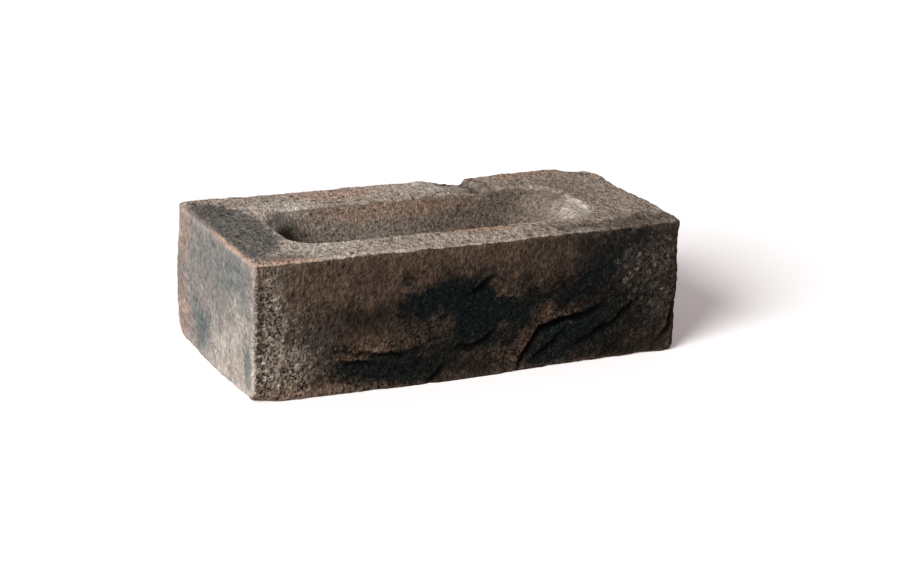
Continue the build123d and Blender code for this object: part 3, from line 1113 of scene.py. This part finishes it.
feeds = {"Vector": place, "Angle": BED_STRIKE}
struck_bed = out_of(put(tree, "ShaderNodeVectorRotate", feeds, rotation_type="Z_AXIS"))
feeds = {"Factor": sides["bed"], "A": place, "B": vector_of(tree, "MULTIPLY", struck_bed, BED_DRAG)}
sand_place = out_of(put(tree, "ShaderNodeMix", feeds, data_type="VECTOR"))
fine = sand_at(sand_place, FINE_GRAIN)
coarse = sand_at(sand_place, COARSE_GRAIN)
streaked = sand_at(vector_of(tree, "MULTIPLY", place, FACE_DRAG), FINE_GRAIN)
smooth_face = sum_of(tree, "MULTIPLY", sides["face"], sum_of(tree, "SUBTRACT", 1.0, kept("torn")))
feeds = {"Factor": smooth_face, "A": fine["Speckle"], "B": streaked["Speckle"]}
speckle = out_of(put(tree, "ShaderNodeMix", feeds))
mottle = swing(MOTTLE, middle=1.0, size=MOTTLE_SIZE, detail=3.0, rough=0.6)
grittiness = step_of(tree, kept("torn"), 0.0, 1.0, SMOOTH_GRAIN, TORN_GRAIN)
fine_share = sum_of(tree, "MULTIPLY", share_of(FINE_ON), grittiness)
shade = sum_of(tree, "MULTIPLY_ADD", speckle, fine_share, mottle)
shade = sum_of(tree, "MULTIPLY_ADD", coarse["Speckle"], share_of(COARSE_ON), shade)
shade = sum_of(tree, "MAXIMUM", shade, DARKEST)
sand_height = sum_of(tree, "MULTIPLY_ADD", coarse["Height"], COARSE_HEIGHT, fine["Height"])
print("fine and coarse grain, millimetres:", FINE_GRAIN, COARSE_GRAIN)

# %% Painted shade in hollows and creases, painted highlight on lips, fine relief and the shader
# Each mask's start and end, and the shade at both.
SHADES = {
    "hollow": (-0.8, 1.2, 1.2, 0.45),
    "crease": (0.1, 0.8, 1.0, 0.3),
    "lip": (0.0, 0.8, 1.0, 1.25),
}
BUMP_HEIGHT = 1.3 * MM
CLAY_ROUGHNESS = 0.95
CLAY_SHINE = 0.08

# These factors paint shade into hollows and creases, and a highlight on lips and raised spots, into the
# colour.
for name, (start, end, first, last) in SHADES.items():
    shade = sum_of(tree, "MULTIPLY", shade, step_of(tree, kept(name), start, end, first, last))
tinted = vector_of(tree, "SCALE", coats[-1], shade)
feeds = {"Strength": share_of(BUMP_ON), "Distance": BUMP_HEIGHT, "Height": sand_height}
bump = out_of(put(tree, "ShaderNodeBump", feeds))
feeds = {"Base Color": tinted, "Roughness": CLAY_ROUGHNESS, "Specular IOR Level": CLAY_SHINE, "Normal": bump}
shader = put(tree, "ShaderNodeBsdfPrincipled", feeds)
put(tree, "ShaderNodeOutputMaterial", {"Surface": out_of(shader)})
print("material nodes:", len(tree.nodes))

# %% [markdown]
# ## Handing the piece over
#
# A finished part is handed over as plain points and faces. Applying the modifiers by hand would do, but a
# script does it with one call: they are run once, and their result becomes a mesh. The finished piece carries
# no live modifier, its place is in its points, and it stands for the CAD solid in every picture.

# %% Run the modifiers once and keep the mesh
RELIEF_SEED = 4.0

roughen = block.modifiers.new("clay relief", "NODES")
roughen.node_group = relief
for name, size in RELIEF_SIZES.items():
    roughen[relief_ids[name]] = size
roughen[relief_ids["Seed"]] = RELIEF_SEED
roughen[relief_ids["Fold lines"]] = fold_lines
roughen[relief_ids["Clay"]] = fired_clay
evaluated = block.evaluated_get(bpy.context.evaluated_depsgraph_get())
finished = bpy.data.meshes.new_from_object(evaluated)
finished.name = "fired_clay_body"
brick = bpy.data.objects.new("fired_clay_body", finished)
bpy.context.scene.collection.objects.link(brick)
bpy.data.objects.remove(block)
bpy.data.objects.remove(fold_lines)
finished.calc_loop_triangles()
print("finished brick, triangles:", len(finished.loop_triangles))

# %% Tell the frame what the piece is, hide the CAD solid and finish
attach(brick, "root")
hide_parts("facing_brick")
